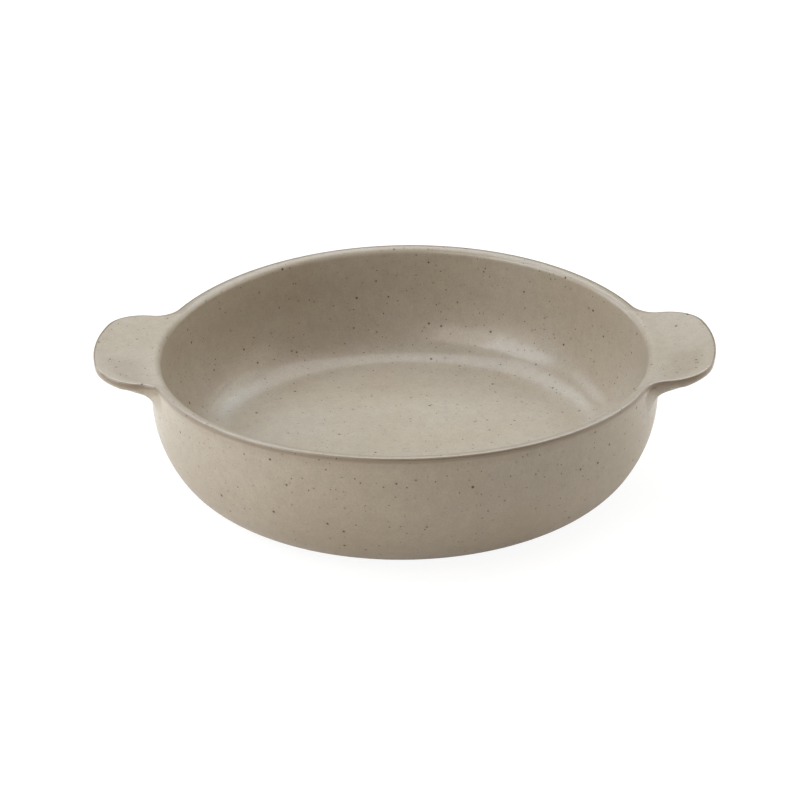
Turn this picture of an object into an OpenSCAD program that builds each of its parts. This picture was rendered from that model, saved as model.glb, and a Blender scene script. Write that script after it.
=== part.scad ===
// Round stoneware baking dish with two lug handles, one fired piece.
// The origin is the middle of the foot, on the table. X runs along the two lugs and Z is up.
// Lengths are millimetres.

/* [Bowl] */
// Diameter over the rim
rim_d = 240; // [210:1:280]
// Height from the table to the rim
height = 65; // [61:1:85]
// Thickness of the wall
wall = 5.5; // [5:0.1:6.5]
// Thickness of the floor
floor_t = 6.5; // [5:0.1:9]
// Radius of the belly in section
belly_r = 56; // [50:0.5:60]
// Radius of the heel, the curve between belly and base
heel_r = 28; // [22:0.5:34]
// Angle up from the base where the heel gives way to the belly
heel_a = 59; // [54:1:66]

/* [Rim] */
// How far the rim stands out past the belly
flare = 0.5; // [0.4:0.1:1.2]
// Height over which the wall flares out to the rim
flare_h = 12; // [9:0.5:14]
// Rounding of the outer edge
rim_out = 1.2; // [0.8:0.1:1.4]
// Rounding of the inner edge
rim_in = 3.6; // [2.8:0.1:3.7]

/* [Foot] */
// How far the foot ring stands in from where the heel begins
foot_inset = 3.3; // [1:0.1:20]
// Width of the foot ring
foot_w = 6; // [4:0.5:10]
// Height of the foot ring
foot_h = 1.3; // [1:0.1:2]

/* [Lugs] */
// How far a lug reaches past the rim
lug_reach = 26; // [25:0.5:34]
// Width across a lug
lug_w = 78; // [66:1:92]
// Radius of the two outer corners in plan
lug_corner = 21; // [12:0.5:21]
// Radius of the slightly curved end in plan
lug_end_r = 90; // [80:1:200]
// Radius of the curve that runs from a lug's side into the rim
lug_flare = 12; // [8:0.5:13.5]
// Thickness of a lug at its edge
lug_t = 4.5; // [4:0.1:6.5]
// How much thicker a lug is where it meets the wall
lug_root = 3; // [1:0.5:5]
// Radius of the cove between a lug's underside and the wall
lug_cove = 8; // [5:0.5:10]

/* [Hidden] */
$fn = 180;

// Rounding of the foot ring's two edges
foot_edge = 0.5;
// Rounding of the lower edge of a lug
lug_under = 2.4;
// Edge thickness of a lug where it runs out into the rim
lug_thin = 2 * rim_out;
// Depth to which the lug's ends and cove sink into the wall, so that the piece is one solid
bite = 0.3;
// Points on half of a lug's outline: curve into the rim, corner and end
flare_n = 8;
corner_n = 11;
end_n = 4;

rim_r = rim_d / 2;
belly_out = rim_r - flare;
floor_z = foot_h + floor_t;

// Centres of the heel and belly curves, for the outside; the inside lies higher by the floor's extra
belly_x = belly_out - belly_r;
heel_x = belly_x + (belly_r - heel_r) * sin(heel_a);
heel_rise = (belly_r - heel_r) * cos(heel_a);

// Centre of the long hollow curve that carries the wall out to the rim
flare_z = height - rim_out - flare_h;
flare_r = (pow(flare_h, 2) + pow(flare, 2)) / (2 * flare);
flare_x = belly_out + flare_r;

// Inner face of the wall at the height where the rim's inner rounding begins
rim_in_z = height - rim_in;
inner_a = asin((rim_in_z - flare_z) / (flare_r + wall));
inner_x = flare_x - (flare_r + wall) * cos(inner_a);
rim_flat = [inner_x + rim_in, rim_r - rim_out];

// Points of an arc from angle a0 to a1, both ends included
function arc(c, r, a0, a1, n) =
    [for (i = [0 : n]) let (a = a0 + (a1 - a0) * i / n) c + r * [cos(a), sin(a)]];

// Heel and belly in section, from the flat base up to the upright wall
function bowl_curve(z, t) =
    let (lift = z + heel_r - t)
    concat(
        arc([heel_x, lift], heel_r - t, -90, heel_a - 90, 11),
        arc([belly_x, lift + heel_rise], belly_r - t, heel_a - 90 + 4, 0, 6)
    );

// Smooth step from 0 to 1
function ease(x) = let (k = min(max(x, 0), 1)) k * k * (3 - 2 * k);

// Each list turned end for end
function reversed(list) = [for (i = [len(list) - 1 : -1 : 0]) list[i]];

// Half of the bowl's cross-section, as it stands right of the axis
module bowl_section() {
    foot_r = heel_x - foot_inset;
    foot = concat(
        [[0, foot_h], [foot_r - foot_w, foot_h]],
        arc([foot_r - foot_w + foot_edge, foot_edge], foot_edge, 180, 270, 3),
        arc([foot_r - foot_edge, foot_edge], foot_edge, -90, 0, 3),
        [[foot_r, foot_h]]
    );
    outside = concat(
        bowl_curve(foot_h, 0),
        arc([flare_x, flare_z], flare_r, 180, 180 - asin(flare_h / flare_r), 3)
    );
    rim = concat(
        arc([rim_flat[1], height - rim_out], rim_out, 0, 90, 6),
        arc([rim_flat[0], rim_in_z], rim_in, 90, 180, 9)
    );
    inside = concat(
        arc([flare_x, flare_z], flare_r + wall, 180 - inner_a, 180, 3),
        reversed(bowl_curve(floor_z, wall)),
        [[0, floor_z]]
    );
    polygon(concat(foot, outside, rim, inside));
}

// Half of a lug's outline in plan, from the rim to the middle of its end.
// Each entry is a point and the outward direction of the edge there.
function half_outline() =
    let (
        r0 = rim_r - bite,
        end_x = rim_r + lug_reach - lug_end_r,
        fy = lug_w / 2 + lug_flare,
        fx = sqrt(pow(r0 + lug_flare, 2) - fy * fy),
        fa = atan2(fy, fx),
        cy = lug_w / 2 - lug_corner,
        cx = end_x + sqrt(pow(lug_end_r - lug_corner, 2) - cy * cy),
        ca = atan2(cy, cx - end_x)
    )
    concat(
        [for (i = [0 : flare_n]) let (a = 180 + fa + (90 - fa) * i / flare_n)
            [[fx, fy] + lug_flare * [cos(a), sin(a)], -[cos(a), sin(a)]]],
        [for (i = [0 : corner_n]) let (a = 90 + (ca - 90) * i / corner_n)
            [[cx, cy] + lug_corner * [cos(a), sin(a)], [cos(a), sin(a)]]],
        [for (i = [1 : end_n]) let (a = ca * (1 - i / end_n))
            [[end_x, 0] + lug_end_r * [cos(a), sin(a)], [cos(a), sin(a)]]]
    );

// Cross-section of a lug at one point of its outline, as a ring of points in space.
// It runs from the rim over the top, round the edge, back under and down the cove into the wall.
function lug_ring(q, n) =
    let (
        a = atan2(q[1], q[0]),
        out = [cos(a), sin(a)],
        stand = norm(q) - (rim_r - bite),
        t = lug_thin + (lug_t - lug_thin) * ease(stand / lug_flare),
        under = min(lug_under, t - rim_out - 0.2),
        edge = q - under * n,
        cove = min(lug_cove, 0.8 * max(norm(edge) - belly_out, bite)),
        root_z = height - t - lug_root * ease(stand / lug_reach),
        cove_x = belly_out - bite + cove
    )
    concat(
        [concat((rim_flat[0] + rim_flat[1]) / 2 * out, [height])],
        [for (i = [0 : 4]) let (b = 90 - 90 * i / 4)
            concat(q - rim_out * (1 - cos(b)) * n, [height - rim_out * (1 - sin(b))])],
        [for (i = [0 : 4]) let (b = 90 * i / 4)
            concat(q - under * (1 - cos(b)) * n, [height - t + under * (1 - sin(b))])],
        [for (i = [1 : 3]) let (k = i / 3)
            concat(edge * (1 - k) + cove_x * out * k, [height - t + (root_z - height + t) * k])],
        [for (i = [1 : 8]) let (b = 90 + 90 * i / 8)
            concat((cove_x + cove * cos(b)) * out, [root_z - cove + cove * sin(b)])],
        [
            concat((rim_r - 0.62 * wall) * out, [root_z - cove]),
            concat((rim_r - 0.62 * wall) * out, [rim_in_z])
        ]
    );

// The same ring sunk into the wall a little further round, to close a lug's end inside the bowl
function sunk(ring, turn) =
    [for (p = ring) let (r = norm([p[0], p[1]]) - 1.2, a = atan2(p[1], p[0]) + turn)
        [r * cos(a), r * sin(a), p[2] - 1.5]];

// One lug, lofted through its cross-sections
module lug() {
    half = [for (s = half_outline()) lug_ring(s[0], s[1])];
    upper = concat([sunk(half[0], 1.2)], half);
    lower = [for (i = [len(upper) - 2 : -1 : 0]) [for (p = upper[i]) [p[0], -p[1], p[2]]]];
    rings = concat(upper, lower);
    n = len(rings);
    m = len(rings[0]);
    sides = [for (i = [0 : n - 2], j = [0 : m - 1]) let (k = (j + 1) % m)
        each [[i * m + j, i * m + k, (i + 1) * m + k], [i * m + j, (i + 1) * m + k, (i + 1) * m + j]]];
    caps = [[for (j = [m - 1 : -1 : 0]) j], [for (j = [0 : m - 1]) (n - 1) * m + j]];
    // A resize by zero keeps the loft at its own size and passes it on as one closed mesh
    resize([0, 0, 0])
        polyhedron([for (r = rings) each r], concat(caps, sides));
}

module dish() color("tan") {
    rotate_extrude() bowl_section();
    lug();
    rotate(180) lug();
}

dish();
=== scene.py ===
# %% [markdown]
# # A speckled stoneware baking dish
#
# The real dish is one piece of clay: a deep round bowl with a narrow rim, and two flat lugs to
# lift it by. It was fired under a satin glaze of a warm grey that potters call greige.
# Iron in the clay burns through that glaze as small brown specks.
#
# This lesson builds the dish as one closed surface worked out with numpy, gives it a glaze made
# of shader nodes, and lights it the way a product studio would.

import bpy
import numpy as np
from mathutils import Matrix, Vector


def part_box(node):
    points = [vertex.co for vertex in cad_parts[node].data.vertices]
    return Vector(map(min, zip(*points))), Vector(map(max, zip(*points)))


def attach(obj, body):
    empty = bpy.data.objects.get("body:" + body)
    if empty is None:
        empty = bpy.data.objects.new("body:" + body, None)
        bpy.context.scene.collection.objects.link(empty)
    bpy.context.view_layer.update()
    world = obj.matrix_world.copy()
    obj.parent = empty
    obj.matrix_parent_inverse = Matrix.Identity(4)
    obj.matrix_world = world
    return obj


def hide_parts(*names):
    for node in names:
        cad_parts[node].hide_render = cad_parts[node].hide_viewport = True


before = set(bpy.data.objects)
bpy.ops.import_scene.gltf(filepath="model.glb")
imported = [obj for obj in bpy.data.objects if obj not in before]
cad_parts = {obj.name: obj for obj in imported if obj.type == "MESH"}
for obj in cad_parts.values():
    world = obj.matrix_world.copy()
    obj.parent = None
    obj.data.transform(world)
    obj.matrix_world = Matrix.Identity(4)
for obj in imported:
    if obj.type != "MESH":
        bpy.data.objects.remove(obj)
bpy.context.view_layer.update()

# %% [markdown]
# ## The sizes of the bowl
#
# A potter thinks of a dish in a few sizes: how wide the rim is, how high it stands, how thick
# the clay is, and the two curves of its side. The lower, tighter curve is the heel and the upper
# one is the belly. The widest sizes come from the solid model, so that the surface fits it
# exactly, and the others repeat the values that shaped the solid. The sizes of the foot and the
# lugs follow where they are needed.

# %% Sizes of the bowl, in metres
MM = 0.001
dish_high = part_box("dish")[1]
rim_r = dish_high.y
tip_r = dish_high.x
height = dish_high.z

wall = 5.5 * MM
floor_t = 6.5 * MM
belly_r = 56 * MM
heel_r = 28 * MM
heel_turn = 59.0

flare = 0.5 * MM
flare_h = 12 * MM
rim_out = 1.2 * MM
rim_in = 3.6 * MM

print(f"Rim {2 * rim_r / MM:.0f} mm across, {2 * tip_r / MM:.0f} mm over the lugs, {height / MM:.0f} mm high")

# %% [markdown]
# ## The section of the bowl
#
# Cut the dish in half and the clay shows a section of a few tangent arcs. From the middle of the
# floor it runs flat, turns up through the heel, straightens into the belly, leans out a little
# and rolls over the rim. A lathe or a Screw modifier could spin such a profile, but the lugs have
# to grow out of the rim, so the profile stays a list of points that the next steps can bend.

# %% Arcs of the section
def arc(centre, radius, start, stop, count):
    """Points centre + radius * (cos, sin), with the angle going evenly from start to stop degrees."""
    turn = np.radians(np.linspace(start, stop, count))
    return np.asarray(centre) + radius * np.stack([np.cos(turn), np.sin(turn)], axis=1)


belly_out = rim_r - flare
belly_x = belly_out - belly_r
heel_x = belly_x + (belly_r - heel_r) * np.sin(np.radians(heel_turn))
heel_rise = (belly_r - heel_r) * np.cos(np.radians(heel_turn))


def bowl_curve(base_z, thickness, heel_count=30, belly_count=22):
    """Heel arc from the flat base, then the wider belly arc that ends upright. Both are offset inwards
    by thickness."""
    heel_z = base_z + heel_r - thickness
    heel = arc([heel_x, heel_z], heel_r - thickness, -90, heel_turn - 90, heel_count)
    belly = arc([belly_x, heel_z + heel_rise], belly_r - thickness, heel_turn - 90, 0, belly_count)
    return np.concatenate([heel, belly[1:]])


print(f"The flat of the base ends {heel_x / MM:.1f} mm from the middle")

# %% The wall's hollow flare and the flat of the rim
flare_z = height - rim_out - flare_h
flare_r = (flare_h**2 + flare**2) / (2 * flare)
flare_x = belly_out + flare_r


def outer_face(z):
    """Radius of the wall's outer face at height z: upright up to flare_z, then a long arc that leans out."""
    lean = np.clip(z - flare_z, 0, None)
    return flare_x - np.sqrt(flare_r**2 - lean**2)


def inner_face(z):
    """Radius of the inner face: the same arc, one wall thickness further from its centre."""
    lean = np.clip(z - flare_z, 0, None)
    return flare_x - np.sqrt((flare_r + wall) ** 2 - lean**2)


rim_in_z = height - rim_in
flat_in = inner_face(rim_in_z) + rim_in
flat_middle = (flat_in + rim_r - rim_out) / 2
print(f"The rim's flat is {(rim_r - rim_out - flat_in) / MM:.1f} mm wide")

# %% [markdown]
# ## Where the sections stand
#
# Seen from above, the outer edge is a circle with two lugs. It is walked in steps: the middle of
# a lug's end, its round corner, its straight side, the hollow curve that brings it back to the
# rim, and then the rim itself. Each step, or station, has a point and the direction that faces
# outwards there. One quarter is enough, because the dish is the same in both mirrors.

# %% A quarter of the outline
lug_w = 78 * MM
lug_corner = 21 * MM
lug_end_r = 90 * MM
lug_flare = 12 * MM


def outline_quarter():
    """Points and outward directions from the middle of a lug's end to a quarter turn round the rim."""
    side_y = lug_w / 2 + lug_flare
    side_x = np.sqrt((rim_r + lug_flare) ** 2 - side_y**2)
    leave = np.degrees(np.arctan2(side_y, side_x))
    corner_y = lug_w / 2 - lug_corner
    end_x = tip_r - lug_end_r
    corner_x = end_x + np.sqrt((lug_end_r - lug_corner) ** 2 - corner_y**2)
    turn_in = np.degrees(np.arctan2(corner_y, corner_x - end_x))

    end = arc([end_x, 0], lug_end_r, 0, turn_in, 11)
    corner = arc([corner_x, corner_y], lug_corner, turn_in, 90, 26)
    straight = np.linspace(corner[-1], [side_x, lug_w / 2], 7)
    hollow = arc([side_x, side_y], lug_flare, 270, 180 + leave, 26)
    growing = leave + (90 - leave) * np.linspace(0, 1, 40) ** 1.35
    rim = rim_r * np.stack([np.cos(np.radians(growing)), np.sin(np.radians(growing))], axis=1)

    ways = [
        (end - [end_x, 0]) / lug_end_r,
        (corner - [corner_x, corner_y]) / lug_corner,
        np.tile([[0.0, 1.0]], (len(straight), 1)),
        ([side_x, side_y] - hollow) / lug_flare,
        rim / rim_r,
    ]
    points = np.concatenate([end] + [part[1:] for part in (corner, straight, hollow, rim)])
    facing = np.concatenate([ways[0]] + [part[1:] for part in ways[1:]])
    return points, facing


# %% The whole outline
def whole_outline():
    """The quarter and its mirror image make half, and half a turn makes the other half."""
    points, facing = outline_quarter()
    flip = np.array([-1.0, 1.0])
    half = np.concatenate([points, points[-2:0:-1] * flip])
    half_facing = np.concatenate([facing, facing[-2:0:-1] * flip])
    return np.concatenate([half, -half]), np.concatenate([half_facing, -half_facing])


outline, facing = whole_outline()
station_r = np.linalg.norm(outline, axis=1)
out = outline / station_r[:, None]
stand = station_r - rim_r
print(len(outline), "stations round the dish")

# %% [markdown]
# ## The lip
#
# At every station the lip starts on the flat of the rim and ends low on the outer wall. Along the
# plain rim it only rolls over the outer edge and runs down the wall. At a lug it first runs out
# flat, rounds the lug's edge, comes back underneath and curves down into the wall, which is the
# fillet that a potter smooths with a wet finger. Both are worked out with the same number of
# points, and a smooth weight turns one into the other where the lug begins.

# %% Rows of points
def ease(x):
    """Smooth step: 0 below 0, 1 above 1, and 3x^2 - 2x^3 between."""
    x = np.clip(x, 0, 1)
    return x * x * (3 - 2 * x)


def soft_least(a, b, sharpness=4):
    """A rounded minimum of two positive lengths: (a^-n + b^-n)^(-1/n)."""
    return (a**-sharpness + b**-sharpness) ** (-1 / sharpness)


def between(first, last, count, crowd=1.0):
    """At every station, count points from first to last, without the first one, crowded towards the last."""
    share = 1 - (1 - np.linspace(0, 1, count + 1)[1:, None]) ** crowd
    return first[:, None, :] * (1 - share) + last[:, None, :] * share


def raised(plan, z):
    """Points in space from points in plan and their heights."""
    z = np.broadcast_to(z, plan.shape[:-1])
    return np.concatenate([plan, z[..., None]], axis=-1)


# %% Over the edge and down the plain wall
# How many points lie on the top, over the edge, down the side, round the lower edge, along the
# underside, down the cove and on down the wall
TOP, ROLL, SIDE, TURN, BELOW, COVE, DOWN = 16, 9, 3, 8, 13, 13, 6
lip_end_z = flare_z - 5 * MM


def rolled_edge():
    """From the rim's flat out to the edge, and a quarter of a circle over it."""
    start = raised(flat_middle * out, height)
    inner = raised(outline - rim_out * facing, height)
    turn = np.radians(np.linspace(90, 0, ROLL + 1)[1:])[None, :]
    back = rim_out * (1 - np.cos(turn))
    roll = raised(outline[:, None, :] - back[..., None] * facing[:, None, :],
                  height - rim_out * (1 - np.sin(turn)))
    return np.concatenate([start[:, None, :], between(start, inner, TOP, 1.7), roll], axis=1)


def plain_wall():
    """Down the outer face, evenly, from the rolled edge to the end of the lip."""
    share = np.linspace(0, 1, SIDE + TURN + BELOW + COVE + DOWN + 1)[1:][None, :]
    z = (height - rim_out) * (1 - share) + lip_end_z * share
    return raised(outer_face(z)[..., None] * out[:, None, :], z)


print("The lip ends", round(lip_end_z / MM, 1), "mm above the table")

# %% [markdown]
# The lugs are thin at the edge and thicker where they meet the wall. In the photograph the side of
# a lug looks deeper towards the wall, more so on the right lug, so the clay swells there and
# thins out again within 24 millimetres of the rim.

# %% Under a lug
lug_t = 4.5 * MM
lug_thin = 2 * rim_out
lug_grow = 9 * MM
swell_right = 1.8 * MM
swell_left = 0.6 * swell_right
swell_from = 6 * MM
swell_fade = 18 * MM
lug_drop = 3 * MM
lug_cove = 8 * MM
lug_under = 2.4 * MM


def lug_thickness():
    """Grows from lug_thin to lug_t plus the swell within lug_grow of the rim. From swell_from on, the swell
    fades out over swell_fade."""
    swell = np.where(outline[:, 0] > 0, swell_right, swell_left)
    full = lug_t + swell * (1 - ease((stand - swell_from) / swell_fade))
    return lug_thin + (full - lug_thin) * ease(stand / lug_grow)


def lug_underside():
    """Down the lug's side, round its lower edge, back to the wall, and down the cove. The underside falls by
    lug_drop on its way in from the tip."""
    thick = lug_thickness()
    lower_r = np.minimum(lug_under, thick - rim_out - 0.2 * MM)
    root_z = height - thick - lug_drop * ease(stand / (tip_r - rim_r))

    turn = np.radians(np.linspace(0, 90, TURN + 1))[None, :]
    back = lower_r[:, None] * (1 - np.cos(turn))
    low_edge = raised(outline[:, None, :] - back[..., None] * facing[:, None, :],
                      (height - thick + lower_r)[:, None] - lower_r[:, None] * np.sin(turn))
    side = between(raised(outline, height - rim_out), low_edge[:, 0], SIDE)

    room = np.linalg.norm(low_edge[:, -1, :2], axis=1) - belly_out
    cove = soft_least(np.full_like(room, lug_cove), 0.85 * np.clip(room, 0.05 * MM, None))
    cove_x = outer_face(root_z - cove) + cove
    below = between(low_edge[:, -1], raised(cove_x[:, None] * out, root_z), BELOW)

    turn = np.radians(np.linspace(90, 180, COVE + 1)[1:])[None, :]
    cove_r = cove_x[:, None] + cove[:, None] * np.cos(turn)
    curve = raised(cove_r[..., None] * out[:, None, :],
                   (root_z - cove)[:, None] + cove[:, None] * np.sin(turn))

    share = np.linspace(0, 1, DOWN + 1)[1:][None, :]
    z = (root_z - cove)[:, None] * (1 - share) + lip_end_z * share
    down = raised(outer_face(z)[..., None] * out[:, None, :], z)
    return np.concatenate([side, low_edge[:, 1:], below, curve, down], axis=1)


print(f"A lug's side is up to {lug_thickness().max() / MM:.1f} mm high")

# %% The lip at every station
lug_begins = 4 * MM
is_lug = ease(stand / lug_begins)[:, None, None]
lip = np.concatenate([rolled_edge(), plain_wall() * (1 - is_lug) + lug_underside() * is_lug], axis=1)
print("The lip has", lip.shape[1], "points at each station")

# %% [markdown]
# Where the underside of a lug runs out into the wall the clay is smoothed with a wet finger. The
# same happens here: the points by the four joints move towards the middle of their neighbours,
# a little at a time, and never sink into the wall. A joint is counted in stations from the tip of
# its lug: the hollow curve takes stations 41 to 66, and the smoothing reaches past it both ways.

# %% Smoothing the joints
JOINT_FIRST, JOINT_LAST, JOINT_FADE = 28, 84, 10
UNDER_FADE, WALL_FADE = 7, 5


def finger_smoothed(lip, rounds=400):
    """In each round a point goes part of the way to the mean of its four neighbours. The share is 0 on the
    lug's side and at the end of the lip, and 1/2 by the joints."""
    half = len(lip) // 2
    step = np.arange(len(lip)) % half
    from_tip = np.minimum(step, half - step)
    by_joint = ease((from_tip - JOINT_FIRST) / JOINT_FADE) * ease((JOINT_LAST - from_tip) / JOINT_FADE)
    row = np.arange(lip.shape[1]) - (1 + TOP + ROLL + SIDE)
    under = ease(row / UNDER_FADE) * ease((row[-1] - row) / WALL_FADE)
    share = 0.5 * (by_joint[:, None] * under[None, :])[..., None]
    for _ in range(rounds):
        mean = (np.roll(lip, 1, 0) + np.roll(lip, -1, 0) + np.roll(lip, 1, 1) + np.roll(lip, -1, 1)) / 4
        lip = lip + share * (mean - lip)
    from_axis = np.linalg.norm(lip[..., :2], axis=-1)
    pushed = np.where(under > 0, np.maximum(from_axis, outer_face(lip[..., 2])), from_axis) / from_axis
    return lip * np.stack([pushed, pushed, np.ones_like(pushed)], axis=-1)


rough_lip = lip
lip = finger_smoothed(rough_lip)
print(f"The finger moved the clay by up to {np.linalg.norm(lip - rough_lip, axis=-1).max() / MM:.1f} mm")

# %% [markdown]
# The tops of the lugs aren't quite flat. They dip towards a shallow valley along the middle, where
# the thumb lies, and a soft bead is left along the edge. In the photograph the valley looks deeper
# on the right lug. The front part of each top is also a little darker there. The slopes of the
# valley make a small part of that, and painted shade in the colour makes the rest.

# %% The thumb valley
valley = 0.6 * MM
valley_right = 1.5 * valley
valley_round = 2 * MM
bead_in = 2 * MM
bead_w = 5 * MM


def thumbed(points):
    """Lowers the top of a lug by its valley * (1 - |y| / half width), with a rounded bottom, fading out over
    the bead and at the rim."""
    x, y, z = np.moveaxis(points, -1, 0)
    from_edge = np.linalg.norm(points[..., :2] - outline[:, None, :], axis=-1)
    fade = ease((from_edge - bead_in) / bead_w) * ease((np.hypot(x, y) - rim_r + 3 * MM) / (8 * MM))
    slope = 1 - np.sqrt(y**2 + valley_round**2) / (lug_w / 2)
    depth = np.where(x > 0, valley_right, valley)
    lowered = depth * fade * np.clip(slope, 0, None)
    return np.stack([x, y, z - lowered], axis=-1)


lip[:, : TOP + 1] = thumbed(lip[:, : TOP + 1])
print(f"The deeper valley dips by {(height - lip[:, : TOP + 1, 2].min()) / MM:.1f} mm")

# %% [markdown]
# ## The whole skin
#
# Each station now gets a full loop: from the floor up the inside, over the lip, down the outside
# and under the foot ring to the middle again. Two single points close the floor and the base, so
# the mesh is watertight, as fired clay is. The foot can't be seen in the photograph, so it is the
# plain low ring that such dishes stand on.

# %% Inside and outside of the bowl
foot_inset = 3.3 * MM
foot_w = 6 * MM
foot_h = 1.3 * MM
foot_edge = 0.5 * MM
foot_r = heel_x - foot_inset
floor_z = foot_h + floor_t


def inside_profile():
    """Radius and height from just off the middle of the floor up to the rim's flat."""
    floor = np.stack([np.linspace(0, heel_x, 14)[1:], np.full(13, floor_z)], axis=1)
    bowl = bowl_curve(floor_z, wall)
    lean_z = np.linspace(bowl[-1, 1], rim_in_z, 14)[1:]
    lean = np.stack([inner_face(lean_z), lean_z], axis=1)
    roll = arc([flat_in, rim_in_z], rim_in, 180, 90, 14)
    return np.concatenate([floor, bowl[1:], lean, roll[1:]])


def outside_profile():
    """Radius and height from below the lip down the belly and heel, over the foot ring, to the middle."""
    bowl = bowl_curve(foot_h, 0)[::-1]
    upright_z = np.linspace(lip_end_z, bowl[0, 1], 4)[1:-1]
    upright = np.stack([outer_face(upright_z), upright_z], axis=1)
    ring = np.concatenate([
        [[foot_r, foot_h]],
        arc([foot_r - foot_edge, foot_edge], foot_edge, 0, -90, 5),
        arc([foot_r - foot_w + foot_edge, foot_edge], foot_edge, 270, 180, 5),
        [[foot_r - foot_w, foot_h]],
    ])
    base_r = np.linspace(foot_r - foot_w, 0, 9)[1:-1]
    base = np.stack([base_r, np.full(7, foot_h)], axis=1)
    return np.concatenate([upright, bowl, ring, base])


# %% Full loops
def spun(profile):
    """A profile of radius and height, stood up in the direction of every station."""
    return raised(profile[None, :, :1] * out[:, None, :], profile[None, :, 1])


inside, outside = inside_profile(), outside_profile()
loops = np.concatenate([spun(inside), lip, spun(outside)], axis=1)
print("Each loop has", loops.shape[1], "points")

# %% [markdown]
# ## A little kiln sag
#
# At its hottest the clay is soft, and the heavy lugs pull the rim down on their two sides. In the
# photograph the rim dips there by between two and three millimetres, and the lugs, which are set
# at a slight rise, come back to the height of the rim at their tips. The dip grows with height,
# and the foot stays flat on the table.

# %% The sag
kiln_sag = 2.95 * MM


def sagged(points):
    """Lowers each point by kiln_sag * (z / height)^2 * least(s^2, t), where s is the distance along the lugs'
    axis over the rim's radius, and t falls from 1 at the rim to 0 at the tip of a lug."""
    along = np.abs(points[..., 0])
    rising = np.clip((tip_r - along) / (tip_r - rim_r), 1e-4, None)
    share = soft_least(np.clip(along / rim_r, 1e-4, None) ** 2, rising, 8)
    dip = kiln_sag * share * (np.clip(points[..., 2], 0, None) / height) ** 2
    return points - dip[..., None] * np.array([0.0, 0.0, 1.0])


loops = sagged(loops)
print(f"Beside the lugs the rim dips by {np.ptp(loops[:, len(inside) - 1, 2]) / MM:.1f} mm")

# %% The mesh
def skin_mesh(name, loops, floor_point, base_point):
    """Quads between neighbouring loops, fans at both poles, all facing outwards."""
    stations, count = loops.shape[:2]
    vertices = np.concatenate([loops.reshape(-1, 3), [floor_point], [base_point]])
    here = np.arange(stations)[:, None] * count + np.arange(count - 1)[None, :]
    there = np.roll(np.arange(stations), -1)[:, None] * count + np.arange(count - 1)[None, :]
    quads = np.stack([here, here + 1, there + 1, there], axis=-1).reshape(-1, 4)
    first = np.arange(stations) * count
    after = np.roll(first, -1)
    last = count - 1
    floor_fan = np.stack([np.full(stations, stations * count), first, after], axis=1)
    base_fan = np.stack([np.full(stations, stations * count + 1), after + last, first + last], axis=1)

    mesh = bpy.data.meshes.new(name)
    mesh.from_pydata(vertices.tolist(), [], quads.tolist() + floor_fan.tolist() + base_fan.tolist())
    mesh.validate()
    mesh.shade_smooth()
    return mesh


dish_mesh = skin_mesh("dish_skin", loops, [0.0, 0.0, floor_z], [0.0, 0.0, foot_h])
dish = bpy.data.objects.new("stoneware_dish", dish_mesh)
bpy.context.scene.collection.objects.link(dish)
triangles = sum(len(face.vertices) - 2 for face in dish_mesh.polygons)
print(triangles, "triangles in the dish")

# %% [markdown]
# ## Where the glaze thins
#
# Glaze runs off an edge while it melts, so the rim and the lugs carry a darker line there. On the
# back half of the dish that line is made stronger and set higher as painted shade. The foot ring is
# wiped clean before firing and stays bare. The surface itself tells the material where these places
# are: every vertex stores how far along the skin it lies from the outer edge, in millimetres, and how bare it
# is.

# %% Two numbers at every vertex
POLE_RUN = 60.0


def store(mesh, name, values, rest):
    """Keeps one number per vertex, with the same number for both poles."""
    layer = mesh.attributes.new(name, "FLOAT", "POINT")
    layer.data.foreach_set("value", np.append(values.ravel(), [rest, rest]).astype(np.float32))


def run_from_edge():
    """Length of skin from the start of the rolled edge, negative towards the floor, in millimetres."""
    steps = np.linalg.norm(np.diff(loops, axis=1), axis=-1)
    run = np.concatenate([np.zeros((len(loops), 1)), np.cumsum(steps, axis=1)], axis=1)
    start = len(inside) + TOP
    return (run - run[:, start : start + 1]) / MM


from_axis = np.hypot(loops[..., 0], loops[..., 1])
low = loops[..., 2] < 0.9 * foot_h
on_ring = low & (from_axis < foot_r + 1 * MM) & (from_axis > foot_r - foot_w - 1 * MM)
store(dish_mesh, "edge_run", run_from_edge(), POLE_RUN)
store(dish_mesh, "bare", on_ring.astype(float), 0.0)
print(on_ring.sum(), "vertices are bare")

# %% [markdown]
# ## The glaze
#
# A satin glaze is a thin coat of glass over clay. Its colour wanders a little from place to
# place, it thins to brown at an edge, and iron specks of many sizes melt into it. A painted image
# could hold all that, but it would need a flat map of the dish. Nodes that read the place in space
# need none, so the glaze is made of them, one layer after the other.

# %% A short way to add shader nodes
def add_node(tree, kind, inputs=None, **settings):
    """Adds a node, sets its own properties, and sets each input to a value or links it to an output."""
    made = tree.nodes.new(kind)
    for key, value in settings.items():
        setattr(made, key, value)
    for key, value in (inputs or {}).items():
        if isinstance(value, bpy.types.NodeSocket):
            tree.links.new(value, made.inputs[key])
        else:
            made.inputs[key].default_value = value
    return made


def linear(red, green, blue):
    """A colour in the 0 to 255 numbers of a paint mixer, as the linear values that a shader wants."""
    srgb = np.array([red, green, blue]) / 255
    light = np.where(srgb <= 0.04045, srgb / 12.92, ((srgb + 0.055) / 1.055) ** 2.4)
    return (*light.tolist(), 1.0)


# %% Arithmetic with nodes
def maths(tree, operation, first, second):
    """One arithmetic step."""
    return add_node(tree, "ShaderNodeMath", {0: first, 1: second}, operation=operation).outputs[0]


def times(tree, first, *others):
    """The product of all the numbers."""
    for other in others:
        first = maths(tree, "MULTIPLY", first, other)
    return first


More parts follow.
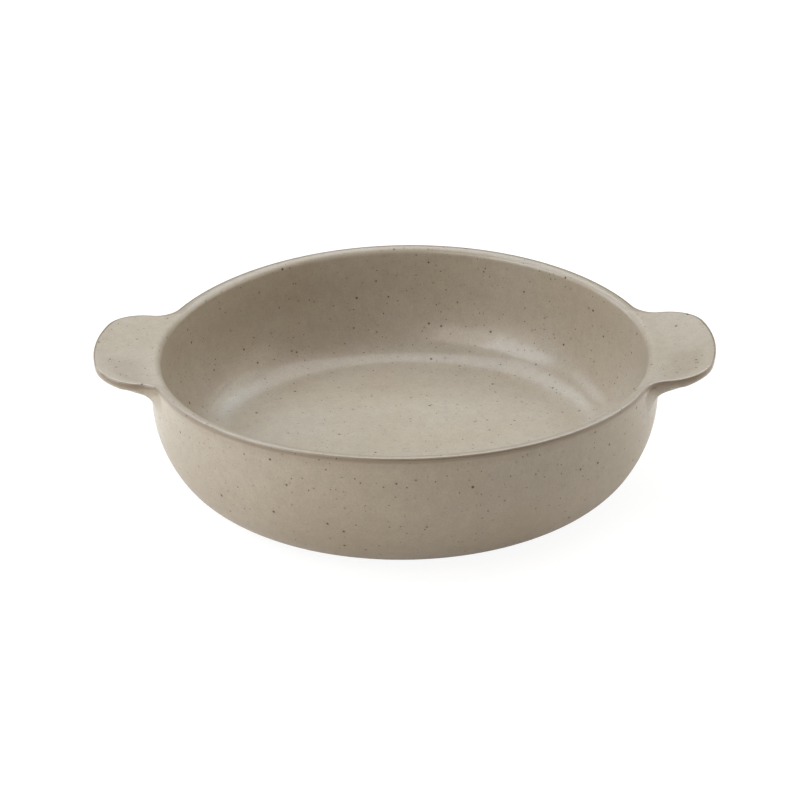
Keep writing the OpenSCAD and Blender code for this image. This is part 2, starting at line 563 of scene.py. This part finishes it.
def ramp(tree, value, low, high, to_low=0.0, to_high=1.0):
    """A smooth step of value between low and high, scaled to the two new ends."""
    keys = {"Value": value, "From Min": low, "From Max": high, "To Min": to_low, "To Max": to_high}
    return add_node(tree, "ShaderNodeMapRange", keys, interpolation_type="SMOOTHSTEP").outputs["Result"]


def ramp_line(tree, value, to_low, to_high):
    """Scales a number between 0 and 1 to lie between two others."""
    keys = {"Value": value, "To Min": to_low, "To Max": to_high}
    return add_node(tree, "ShaderNodeMapRange", keys).outputs["Result"]


def blend(tree, share, first, second, how="MIX"):
    """Goes from the first colour to the second as share goes from 0 to 1."""
    keys = {0: share, 6: first, 7: second}
    return add_node(tree, "ShaderNodeMix", keys, data_type="RGBA", blend_type=how).outputs[2]


# %% The greige melt
GLAZE_WARM = (165, 152, 134)
GLAZE_COOL = (169, 158, 143)


def noise(tree, place, scale, detail, rough=0.5):
    """Soft noise between 0 and 1, with about scale waves to the metre."""
    keys = {"Vector": place, "Scale": scale, "Detail": detail, "Roughness": rough}
    return add_node(tree, "ShaderNodeTexNoise", keys).outputs["Fac"]


def melt_colour(tree, place):
    """Slow clouds between two greiges, times a mottle of some 5 mm and a grain of about 1 mm."""
    clouds = ramp(tree, noise(tree, place, 16.0, 3.0), 0.3, 0.7)
    colour = blend(tree, clouds, linear(*GLAZE_WARM), linear(*GLAZE_COOL))
    mottle = ramp(tree, noise(tree, place, 190.0, 3.0, 0.6), 0.25, 0.75, 0.955, 1.045)
    grain = ramp(tree, noise(tree, place, 1100.0, 1.0), 0.2, 0.8, 0.94, 1.06)
    return blend(tree, 1.0, colour, times(tree, mottle, grain), how="MULTIPLY")


# %% [markdown]
# The brown line follows the edge of each lug on its side, a little below the top. It is thinner
# glaze, and on the back half of the dish it is made stronger and higher as painted shade. Along the
# plain rim it is fainter and wider, and it also darkens the outer part of the rim's flat, more so at
# the back, where that is painted shade too.

# %% The thin glaze along the edge, with painted shade at the back
THIN_GLAZE_AND_SHADE = (112, 92, 70)
# The back values are higher than the front ones, and that extra darkness is painted shade.
LINE_FRONT, LINE_BACK = 0.6, 0.9
RIM_LINE_FRONT, RIM_LINE_BACK = 0.16, 0.30


def places_on_skin(tree, place):
    """What the layers ask about a point: x and y, its distance from the axis, behind, which goes from 0 in
    front to 1 at the back, and the run from the edge in mm, plus behind and a little wander."""
    x, y = add_node(tree, "ShaderNodeSeparateXYZ", {0: place}).outputs[:2]
    flat = add_node(tree, "ShaderNodeCombineXYZ", {0: x, 1: y}).outputs[0]
    radius = add_node(tree, "ShaderNodeVectorMath", {0: flat}, operation="LENGTH").outputs["Value"]
    behind = ramp(tree, y, -30 * MM, 40 * MM)
    run = add_node(tree, "ShaderNodeAttribute", attribute_name="edge_run").outputs["Fac"]
    wander = ramp_line(tree, noise(tree, place, 120.0, 2.0), -0.35, 0.35)
    # Adding behind sets the edge line higher on the back half, as part of its painted shade.
    run = maths(tree, "ADD", maths(tree, "ADD", run, wander), behind)
    return x, y, radius, behind, run


def thin_glaze_and_shade_line(tree, radius, behind, run):
    """The greater of two lines: the one on a lug's side, and the fainter one on the plain rim, which fades
    out between 2 and 9 mm past the rim. Both are thin glaze, made darker towards the back as painted shade."""
    line = times(tree, ramp(tree, run, 0.2, 0.9), ramp(tree, run, 4.2, 2.2),
                 ramp_line(tree, behind, LINE_FRONT, LINE_BACK))
    rim_line = times(tree, ramp(tree, radius, rim_r + 9 * MM, rim_r + 2 * MM), ramp(tree, run, -3.4, -1.2),
                     ramp(tree, run, 8.0, 3.5), ramp_line(tree, behind, RIM_LINE_FRONT, RIM_LINE_BACK))
    return maths(tree, "MAXIMUM", line, rim_line)


# %% [markdown]
# The photograph shows the front part of each lug's top a little darker than the back part, along
# a line that crosses the lugs almost straight. It is made here as painted shade in the glaze colour.

# %% Painted shade on the front part of the lugs' tops
FRONT_SHADE_AMOUNT = 0.19
FRONT_SHADE_SLANT = 0.022


def painted_front_shade(tree, x, y, radius, run):
    """Painted shade where the line y = slant * x has been crossed by 5 to 14 mm, on top of a lug and away
    from its edge.
    """
    across = maths(tree, "SUBTRACT", y, times(tree, x, FRONT_SHADE_SLANT))
    return times(tree, ramp(tree, across, -5 * MM, -14 * MM), ramp(tree, run, -2.5, -8.0),
                 ramp(tree, radius, rim_r - 1 * MM, rim_r + 9 * MM), FRONT_SHADE_AMOUNT)


# %% [markdown]
# Each layer of specks is a field of cells in space with one speck near the middle of each. The
# surface cuts through the field, so it meets some specks through the middle and others only at
# their rims, which gives the mixed sizes that real specks have. Three layers make dust, middling
# specks and a few large ones, and a large one has bled a little into the glaze round it.

# %% Iron specks
SPECK = (42, 29, 19)
SPECK_HALO = (104, 84, 62)
LARGE_SPACING = 6.2 * MM


def specks(tree, place, spacing, smallest, largest, kept):
    """A mask that is 1 in the specks. Cells lie spacing apart, a share of them holds a speck, and each
    speck has its own radius between smallest and largest."""
    keys = {"Vector": place, "Scale": 1 / spacing, "Randomness": 1.0}
    cells = add_node(tree, "ShaderNodeTexVoronoi", keys)
    dice = add_node(tree, "ShaderNodeSeparateColor", {"Color": cells.outputs["Color"]})
    size = maths(tree, "POWER", dice.outputs["Red"], 2.0)
    radius = ramp_line(tree, size, smallest / spacing, largest / spacing)
    disc = ramp(tree, cells.outputs["Distance"], times(tree, radius, 1.25), times(tree, radius, 0.55))
    held = maths(tree, "LESS_THAN", dice.outputs["Green"], kept)
    return times(tree, disc, held), cells.outputs["Distance"], held


def speckled(tree, place, colour):
    """The colour under three layers of specks, with a soft halo round the large ones."""
    dust = specks(tree, place, 1.45 * MM, 0.11 * MM, 0.24 * MM, 0.9)[0]
    middling = specks(tree, place, 2.5 * MM, 0.16 * MM, 0.43 * MM, 0.9)[0]
    large, from_middle, held = specks(tree, place, LARGE_SPACING, 0.34 * MM, 0.72 * MM, 0.85)
    halo = ramp(tree, from_middle, 1.3 * MM / LARGE_SPACING, 0.3 * MM / LARGE_SPACING)
    colour = blend(tree, times(tree, halo, held, 0.22), colour, linear(*SPECK_HALO))
    colour = blend(tree, times(tree, dust, 0.5), colour, linear(*SPECK_HALO))
    colour = blend(tree, times(tree, middling, 0.85), colour, linear(*SPECK))
    return blend(tree, times(tree, large, 0.95), colour, linear(*SPECK))


# %% The glaze, layer by layer
BARE_CLAY = (170, 147, 121)
BARE_ROUGHNESS = 0.85
ROUGHNESS = 0.42
COAT = 0.5
COAT_ROUGHNESS = 0.16
PEEL_DEPTH = 0.03 * MM


def glaze_material():
    """Melt, thin glaze with painted shade along the edges and on the lugs' fronts, specks, and bare clay on
    the foot ring, under a satin coat with a faint peel.
    """
    material = bpy.data.materials.new("speckled_satin_glaze")
    material.use_nodes = True
    tree = material.node_tree
    shader = tree.nodes["Principled BSDF"]
    place = add_node(tree, "ShaderNodeTexCoord").outputs["Object"]
    x, y, radius, behind, run = places_on_skin(tree, place)
    wiped = add_node(tree, "ShaderNodeAttribute", attribute_name="bare").outputs["Fac"]
    bare = ramp(tree, wiped, 0.35, 0.65)

    colour = melt_colour(tree, place)
    # Thin glaze along the edges, with painted shade on the back half.
    colour = blend(tree, thin_glaze_and_shade_line(tree, radius, behind, run), colour, linear(*THIN_GLAZE_AND_SHADE))
    # Painted shade on the front part of the lug tops.
    colour = blend(tree, painted_front_shade(tree, x, y, radius, run), colour, linear(*THIN_GLAZE_AND_SHADE))
    colour = blend(tree, bare, speckled(tree, place, colour), linear(*BARE_CLAY))
    tree.links.new(colour, shader.inputs["Base Color"])

    satin = ramp_line(tree, noise(tree, place, 60.0, 2.0), ROUGHNESS - 0.03, ROUGHNESS + 0.03)
    keys = {0: bare, 2: satin, 3: BARE_ROUGHNESS}
    roughness = add_node(tree, "ShaderNodeMix", keys, data_type="FLOAT").outputs[0]
    tree.links.new(roughness, shader.inputs["Roughness"])
    shader.inputs["Coat Weight"].default_value = COAT
    shader.inputs["Coat Roughness"].default_value = COAT_ROUGHNESS

    peel = maths(tree, "ADD", times(tree, noise(tree, place, 260.0, 2.0), 0.7),
                 times(tree, noise(tree, place, 900.0, 1.0), 0.12))
    bump = add_node(tree, "ShaderNodeBump", {"Strength": 1.0, "Distance": PEEL_DEPTH, "Height": peel})
    tree.links.new(bump.outputs["Normal"], shader.inputs["Normal"])
    tree.links.new(bump.outputs["Normal"], shader.inputs["Coat Normal"])
    return material


glaze = glaze_material()
dish_mesh.materials.append(glaze)
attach(dish, "root")
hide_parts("dish")
print(len(glaze.node_tree.nodes), "nodes in the glaze")

# %% [markdown]
# ## The floor
#
# The photograph stands on pure white. Here the camera sees the floor sheet as white with a faint
# shadow of the dish on it, and the sheet bounces light as slightly warm paper. Rays that the glaze
# mirrors meet the lit paper with only a weak glow added: with a full white there the lower wall
# came out much paler than in the photograph.

# %% The floor sheet
CAMERA_WHITE = 0.92
MIRROR_WHITE = 0.2
PAPER = (0.80, 0.755, 0.69, 1)
SHADOW_PAPER = (0.16, 0.16, 0.16, 1)


def floor_material():
    """Glow plus paper. The camera meets CAMERA_WHITE and a dim paper that only carries the shadow, and
    mirrored rays and rays through glass meet MIRROR_WHITE and the warm paper."""
    material = bpy.data.materials.new("white_paper")
    material.use_nodes = True
    tree = material.node_tree
    tree.nodes.clear()
    rays = add_node(tree, "ShaderNodeLightPath").outputs
    mirrored = maths(tree, "MAXIMUM", rays["Is Glossy Ray"], rays["Is Transmission Ray"])
    glow = maths(tree, "ADD", times(tree, rays["Is Camera Ray"], CAMERA_WHITE),
                 times(tree, mirrored, MIRROR_WHITE))
    white = add_node(tree, "ShaderNodeEmission", {"Color": (1, 1, 1, 1), "Strength": glow}).outputs[0]
    tone = blend(tree, rays["Is Camera Ray"], PAPER, SHADOW_PAPER)
    paper = add_node(tree, "ShaderNodeBsdfDiffuse", {"Color": tone}).outputs[0]
    both = add_node(tree, "ShaderNodeAddShader", {0: white, 1: paper}).outputs[0]
    add_node(tree, "ShaderNodeOutputMaterial", {"Surface": both})
    return material


def floor_sheet(half=3.0):
    """A plain square floor."""
    mesh = bpy.data.meshes.new("floor")
    corners = [(-half, -half, 0), (half, -half, 0), (half, half, 0), (-half, half, 0)]
    mesh.from_pydata(corners, [], [(0, 1, 2, 3)])
    mesh.materials.append(floor_material())
    floor = bpy.data.objects.new("floor", mesh)
    bpy.context.scene.collection.objects.link(floor)
    return floor


floor = floor_sheet()
print("The floor is", floor.dimensions.x, "m wide")

# %% [markdown]
# ## The light
#
# The world is white to the camera and almost dark to everything else, so that nearly all the
# light on the dish comes from lamps. Three large soft sheets overhead fill the bowl, and nine
# softboxes round the dish light the wall. Their powers and tints were found by comparing renders
# with the photograph, part by part.

# %% The world
WORLD_LIGHT = 0.03
WORLD_MIRRORED = 0.1


def studio_world():
    """White for the camera, WORLD_MIRRORED for mirrored rays and rays through glass, else WORLD_LIGHT."""
    world = bpy.data.worlds.new("studio")
    world.use_nodes = True
    tree = world.node_tree
    rays = add_node(tree, "ShaderNodeLightPath").outputs
    mirrored = maths(tree, "MAXIMUM", rays["Is Glossy Ray"], rays["Is Transmission Ray"])
    sky = maths(tree, "ADD", rays["Is Camera Ray"], times(tree, mirrored, WORLD_MIRRORED))
    tree.nodes["Background"].inputs["Color"].default_value = (1, 1, 1, 1)
    tree.links.new(maths(tree, "MAXIMUM", sky, WORLD_LIGHT), tree.nodes["Background"].inputs["Strength"])
    return world


bpy.context.scene.world = studio_world()
print("The world lights the dish at", WORLD_LIGHT)

# %% Softboxes round the dish
MIDDLE = np.array([0, 0, 0.04])


def softbox(name, place, aim, width, depth, watts, colour):
    """A rectangular area lamp at place, turned to face aim."""
    lamp = bpy.data.lights.new(name, "AREA")
    lamp.shape = "RECTANGLE"
    lamp.size = width
    lamp.size_y = depth
    lamp.energy = watts
    lamp.color = colour
    light = bpy.data.objects.new(name, lamp)
    bpy.context.scene.collection.objects.link(light)
    light.location = place
    light.rotation_euler = (Vector(aim) - Vector(place)).to_track_quat("-Z", "Y").to_euler()
    return light


def polar(azimuth, rise, reach):
    """A place at reach from MIDDLE, turned by azimuth from +X and raised by rise, in degrees."""
    turn, lift = np.radians([azimuth, rise])
    way = np.array([np.cos(turn) * np.cos(lift), np.sin(turn) * np.cos(lift), np.sin(lift)])
    return tuple(reach * way + MIDDLE)


# Name, azimuth, rise, reach, width, depth, watts, colour
AROUND = [
    ("box_left", 199, 36, 1.0, 0.60, 0.44, 4.2, (0.86, 0.93, 1)),
    ("box_front_left", 234, 36, 1.0, 0.62, 0.44, 2.4, (1, 0.92, 0.82)),
    ("box_right", 30, 36, 1.0, 0.65, 0.28, 1.5, (0.96, 1, 0.94)),
    ("low_back_right", 30, 14, 1.3, 0.65, 0.45, 1.8, (1, 0.94, 0.84)),
    ("low_back_left", 150, 18, 1.3, 0.65, 0.65, 3.4, (0.82, 0.90, 1)),
    ("low_right", 0, 18, 1.3, 0.65, 0.65, 2.2, (1, 0.86, 0.72)),
    ("low_left", 180, 18, 1.3, 0.65, 0.65, 0.5, (1, 0.98, 0.86)),
    ("high_right", 352, 45, 1.3, 0.70, 0.70, 0.9, (1, 0.97, 0.93)),
    ("low_front_left", 212, 14, 1.3, 0.65, 0.50, 1.5, (1, 0.85, 0.70)),
]
for name, azimuth, rise, reach, width, depth, watts, colour in AROUND:
    softbox(name, polar(azimuth, rise, reach), tuple(MIDDLE), width, depth, watts, colour)
print(len(AROUND), "softboxes give", round(sum(row[6] for row in AROUND), 1), "W")

# %% Sheets overhead
OVERHEAD_Z = 1.14

# Name, place in plan, width, depth, watts, colour
OVERHEAD = [
    ("sheet_left", (-0.475, 0.36), 0.95, 0.80, 6.8, (0.90, 0.96, 1)),
    ("sheet_right", (0.475, 0.36), 0.95, 0.80, 6.7, (0.98, 0.99, 1)),
    ("sheet_back", (0.0, 1.035), 1.90, 0.55, 11.2, (0.74, 0.89, 1)),
]
for name, (x, y), width, depth, watts, colour in OVERHEAD:
    softbox(name, (x, y, OVERHEAD_Z), (x, y, 0.0), width, depth, watts, colour)
print(len(OVERHEAD), "sheets give", round(sum(row[4] for row in OVERHEAD), 1), "W")

# %% [markdown]
# ## The camera
#
# The picture was taken from 26 degrees above the table with a long lens, which keeps the bowl's
# ellipses flat and even. The camera was fitted to the outline of the dish: how far off it
# stands, where it aims, and the small turns of the camera and of the dish.

# %% A camera that sees what the photograph shows
IMAGE_SIDE = 800
SENSOR = 36.0
focal_px = 2481.5
distance = 1180.6 * MM
elevation = np.radians(25.997)
roll = np.radians(-0.875)
aim = np.array([-2.398, 0, 34.576]) * MM
lug_turn = np.radians(-1.157)


def photo_camera():
    """A camera on a circle round the dish: distance back from the aim, raised by elevation, rolled, and
    turned with the dish so that the lugs keep their small turn in the picture."""
    look = np.array([0, np.cos(elevation), -np.sin(elevation)])
    right = np.array([1.0, 0, 0])
    up = np.cross(right, look)
    across = np.cos(roll) * right + np.sin(roll) * up
    upward = np.cos(roll) * up - np.sin(roll) * right
    place = aim - distance * look
    columns = np.stack([across, upward, -look, place], axis=1)
    matrix = Matrix([*columns.tolist(), [0, 0, 0, 1]])
    data = bpy.data.cameras.new("camera")
    data.sensor_width = SENSOR
    data.lens = focal_px / IMAGE_SIDE * SENSOR
    camera = bpy.data.objects.new("camera", data)
    bpy.context.scene.collection.objects.link(camera)
    camera.matrix_world = Matrix.Rotation(-lug_turn, 4, "Z") @ matrix
    return camera


camera = photo_camera()
bpy.context.scene.camera = camera
bpy.context.scene.view_settings.view_transform = "Standard"
print(f"The lens is {camera.data.lens:.0f} mm long")
